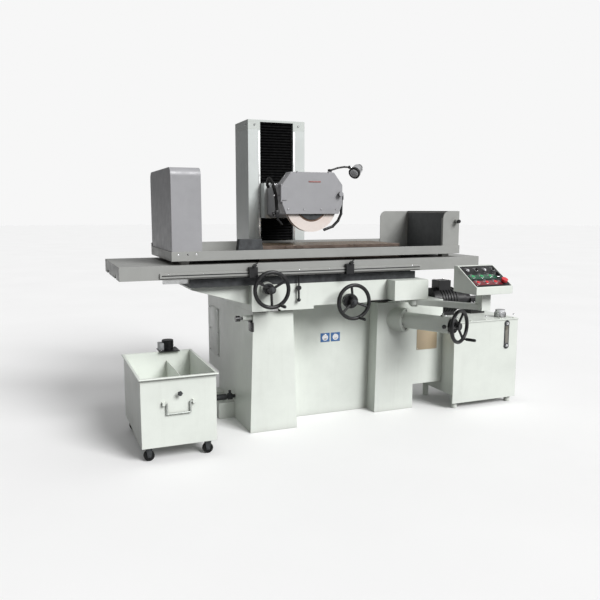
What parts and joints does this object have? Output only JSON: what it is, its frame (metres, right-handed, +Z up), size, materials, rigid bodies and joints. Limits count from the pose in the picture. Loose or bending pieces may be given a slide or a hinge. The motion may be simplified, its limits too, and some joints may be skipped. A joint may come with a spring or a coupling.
{
  "type": "surface grinder",
  "caption": "Hydraulic surface grinder with saddle and table ways, column-mounted wheel head, splash guards, control pendant, oil unit and wheeled coolant tank.",
  "frame": {"origin": "underside of the base, on the floor, in the vertical plane of the spindle's axis", "axes": "+X along the table to the operator's right, +Y from the operator to the column, +Z up"},
  "size_m": [2.8075, 1.7198, 2.041],
  "materials": {
    "machine_paint": "satin",
    "column_paint": "satin",
    "cap_paint": "satin",
    "way_steel": "satin",
    "bellows_rubber": "matte",
    "dark_iron": "matte",
    "black_paint": "satin",
    "black_plastic": "matte",
    "black_rubber": "matte",
    "bright_steel": "polished",
    "table_grey": "satin",
    "guard_grey": "satin",
    "chuck_copper": "satin",
    "wheel_grit": "matte",
    "red_plastic": "gloss",
    "green_plastic": "gloss"
  },
  "bodies": {
    "machine_base": {"base_casting": "machine_paint", "cross_ways": "way_steel", "column_casting": "column_paint", "column_cap": "cap_paint", "upper_bellows": "bellows_rubber", "lower_bellows": "bellows_rubber", "elevating_tube": "machine_paint", "drain_valve": "dark_iron", "hydraulic_tank": "machine_paint", "tank_lid": "machine_paint", "hydraulic_pump": "black_paint"},
    "lube_knob": {"lube_knob": "black_plastic"},
    "filler_cap": {"filler_cap": "bright_steel"},
    "elevating_handwheel": {"elevating_handwheel": "black_paint"},
    "elevating_screw": {"elevating_screw": "way_steel"},
    "saddle": {"saddle_casting": "machine_paint", "table_ways": "dark_iron", "conduit": "black_rubber"},
    "reversing_lever": {"reversing_lever": "black_paint"},
    "table_handwheel": {"table_handwheel": "black_paint"},
    "cross_feed": {"cross_handwheel": "black_paint", "cross_screw": "way_steel"},
    "table": {"table": "table_grey", "splash_tray": "table_grey", "left_guard": "guard_grey", "right_guard": "table_grey", "magnetic_chuck": "chuck_copper", "table_rack": "way_steel", "wheel_dresser": "dark_iron"},
    "left_dog": {"left_dog": "black_paint"},
    "right_dog": {"right_dog": "black_paint"},
    "head": {"head_carriage": "column_paint", "spindle_housing": "guard_grey", "wheel_guard": "guard_grey", "coolant_pipe": "black_paint", "spindle_motor": "dark_iron"},
    "spindle": {"spindle_shaft": "way_steel", "grinding_wheel": "wheel_grit", "wheel_flange": "dark_iron"},
    "guard_door": {"guard_door": "guard_grey"},
    "lamp_arm": {"lamp_arm": "black_paint"},
    "lamp_head": {"lamp_head": "bright_steel"},
    "pendant": {"pendant_arm": "machine_paint", "control_box": "machine_paint"},
    "stop_button": {"stop_button": "red_plastic"},
    "start_button_1": {"start_button_1": "green_plastic"},
    "start_button_2": {"start_button_2": "green_plastic"},
    "start_button_3": {"start_button_3": "green_plastic"},
    "halt_button_1": {"halt_button_1": "red_plastic"},
    "halt_button_2": {"halt_button_2": "red_plastic"},
    "halt_button_3": {"halt_button_3": "red_plastic"},
    "selector_knob": {"selector_knob": "black_plastic"},
    "coolant_tank": {"coolant_tank": "machine_paint", "coolant_pump": "black_paint", "caster_forks": "dark_iron"},
    "caster_wheel_1": {"caster_wheel_1": "black_rubber"},
    "caster_wheel_2": {"caster_wheel_2": "black_rubber"},
    "caster_wheel_3": {"caster_wheel_3": "black_rubber"},
    "caster_wheel_4": {"caster_wheel_4": "black_rubber"},
    "tank_handle": {"tank_handle": "bright_steel"}
  },
  "joints": [
    {"name": "cross_slide", "type": "slide", "parent": "machine_base", "child": "saddle", "axis": [0, 1, 0], "range_m": [-0.34, 0.11]},
    {"name": "table_slide", "type": "slide", "parent": "saddle", "child": "table", "axis": [1, 0, 0], "range_m": [-0.5, 0.5]},
    {"name": "head_slide", "type": "slide", "parent": "machine_base", "child": "head", "axis": [0, 0, 1], "range_m": [-0.08, 0.26], "deforming": ["upper_bellows", "lower_bellows"]},
    {"name": "spindle_spin", "type": "hinge", "parent": "head", "child": "spindle", "pos_m": [0, -0.395, 1.435], "axis": [0, 1, 0], "continuous": true},
    {"name": "guard_door_hinge", "type": "hinge", "parent": "head", "child": "guard_door", "pos_m": [-0.217, -0.437, 1.505], "axis": [0, 0, -1], "range_deg": [0, 90]},
    {"name": "lamp_swivel", "type": "hinge", "parent": "head", "child": "lamp_arm", "pos_m": [0.137, -0.395, 1.6453], "axis": [0, 0, 1], "range_deg": [-40, 40]},
    {"name": "lamp_tilt", "type": "hinge", "parent": "lamp_arm", "child": "lamp_head", "pos_m": [0.28, -0.395, 1.6783], "axis": [0, 1, 0], "range_deg": [-20, 20]},
    {"name": "elevating_handwheel_spin", "type": "hinge", "parent": "machine_base", "child": "elevating_handwheel", "pos_m": [0.6355, -0.457, 0.65], "axis": [0.4462, -0.8949, 0], "continuous": true},
    {"name": "elevating_screw_spin", "type": "hinge", "parent": "machine_base", "child": "elevating_screw", "pos_m": [0.15, 0.32, 1.4], "axis": [0, 0, 1], "continuous": true},
    {"name": "table_handwheel_spin", "type": "hinge", "parent": "saddle", "child": "table_handwheel", "pos_m": [-0.377, -0.7, 0.925], "axis": [0, 1, 0], "continuous": true},
    {"name": "cross_handwheel_spin", "type": "hinge", "parent": "saddle", "child": "cross_feed", "pos_m": [0.171, -0.7, 0.824], "axis": [0, 1, 0], "continuous": true},
    {"name": "reversing_lever_swing", "type": "hinge", "parent": "saddle", "child": "reversing_lever", "pos_m": [-0.17, -0.61, 0.92], "axis": [0, 1, 0], "range_deg": [-15, 15]},
    {"name": "left_dog_slide", "type": "slide", "parent": "table", "child": "left_dog", "axis": [1, 0, 0], "range_m": [-0.4, 0.3]},
    {"name": "right_dog_slide", "type": "slide", "parent": "table", "child": "right_dog", "axis": [1, 0, 0], "range_m": [-0.3, 0.4]},
    {"name": "pendant_swivel", "type": "hinge", "parent": "saddle", "child": "pendant", "pos_m": [0.642, -0.65, 0.796], "axis": [0, 0, 1], "range_deg": [-30, 30]},
    {"name": "stop_button_press", "type": "slide", "parent": "pendant", "child": "stop_button", "axis": [0, 0.5, -0.866], "range_m": [0, 0.004], "stiffness_N_per_m": 400, "springref_m": -0.001},
    {"name": "start_button_1_press", "type": "slide", "parent": "pendant", "child": "start_button_1", "axis": [0, 0.5, -0.866], "range_m": [0, 0.004], "stiffness_N_per_m": 400, "springref_m": -0.001},
    {"name": "start_button_2_press", "type": "slide", "parent": "pendant", "child": "start_button_2", "axis": [0, 0.5, -0.866], "range_m": [0, 0.004], "stiffness_N_per_m": 400, "springref_m": -0.001},
    {"name": "start_button_3_press", "type": "slide", "parent": "pendant", "child": "start_button_3", "axis": [0, 0.5, -0.866], "range_m": [0, 0.004], "stiffness_N_per_m": 400, "springref_m": -0.001},
    {"name": "halt_button_1_press", "type": "slide", "parent": "pendant", "child": "halt_button_1", "axis": [0, 0.5, -0.866], "range_m": [0, 0.004], "stiffness_N_per_m": 400, "springref_m": -0.001},
    {"name": "halt_button_2_press", "type": "slide", "parent": "pendant", "child": "halt_button_2", "axis": [0, 0.5, -0.866], "range_m": [0, 0.004], "stiffness_N_per_m": 400, "springref_m": -0.001},
    {"name": "halt_button_3_press", "type": "slide", "parent": "pendant", "child": "halt_button_3", "axis": [0, 0.5, -0.866], "range_m": [0, 0.004], "stiffness_N_per_m": 400, "springref_m": -0.001},
    {"name": "selector_turn", "type": "hinge", "parent": "pendant", "child": "selector_knob", "pos_m": [1.00101, -1.03764, 0.9937], "axis": [0, -0.5, 0.866], "range_deg": [-45, 45]},
    {"name": "lube_pull", "type": "slide", "parent": "machine_base", "child": "lube_knob", "axis": [-1, 0, 0], "range_m": [0, 0.03]},
    {"name": "filler_cap_turn", "type": "hinge", "parent": "machine_base", "child": "filler_cap", "pos_m": [1.4585, -0.517, 0.64], "axis": [0, 0, 1], "range_deg": [0, 180]},
    {"name": "coolant_tank_roll", "type": "slide", "parent": "machine_base", "child": "coolant_tank", "axis": [-1, 0, 0], "range_m": [0, 0.6]},
    {"name": "caster_1_roll", "type": "hinge", "parent": "coolant_tank", "child": "caster_wheel_1", "pos_m": [-1.141, -0.767, 0.03], "axis": [0, 1, 0], "continuous": true},
    {"name": "caster_2_roll", "type": "hinge", "parent": "coolant_tank", "child": "caster_wheel_2", "pos_m": [-0.804, -0.767, 0.03], "axis": [0, 1, 0], "continuous": true},
    {"name": "caster_3_roll", "type": "hinge", "parent": "coolant_tank", "child": "caster_wheel_3", "pos_m": [-1.141, -0.195, 0.03], "axis": [0, 1, 0], "continuous": true},
    {"name": "caster_4_roll", "type": "hinge", "parent": "coolant_tank", "child": "caster_wheel_4", "pos_m": [-0.804, -0.195, 0.03], "axis": [0, 1, 0], "continuous": true},
    {"name": "tank_handle_swing", "type": "hinge", "parent": "coolant_tank", "child": "tank_handle", "pos_m": [-0.972, -0.829, 0.335], "axis": [-1, 0, 0], "range_deg": [0, 90]}
  ],
  "couplings": [
    {"joint": "table_handwheel_spin", "follows": "table_slide", "rad_per_m": 22.222},
    {"joint": "cross_handwheel_spin", "follows": "cross_slide", "rad_per_m": 1256.6},
    {"joint": "elevating_screw_spin", "follows": "head_slide", "rad_per_m": 1256.6},
    {"joint": "elevating_handwheel_spin", "follows": "head_slide", "rad_per_m": -3141.6}
  ]
}
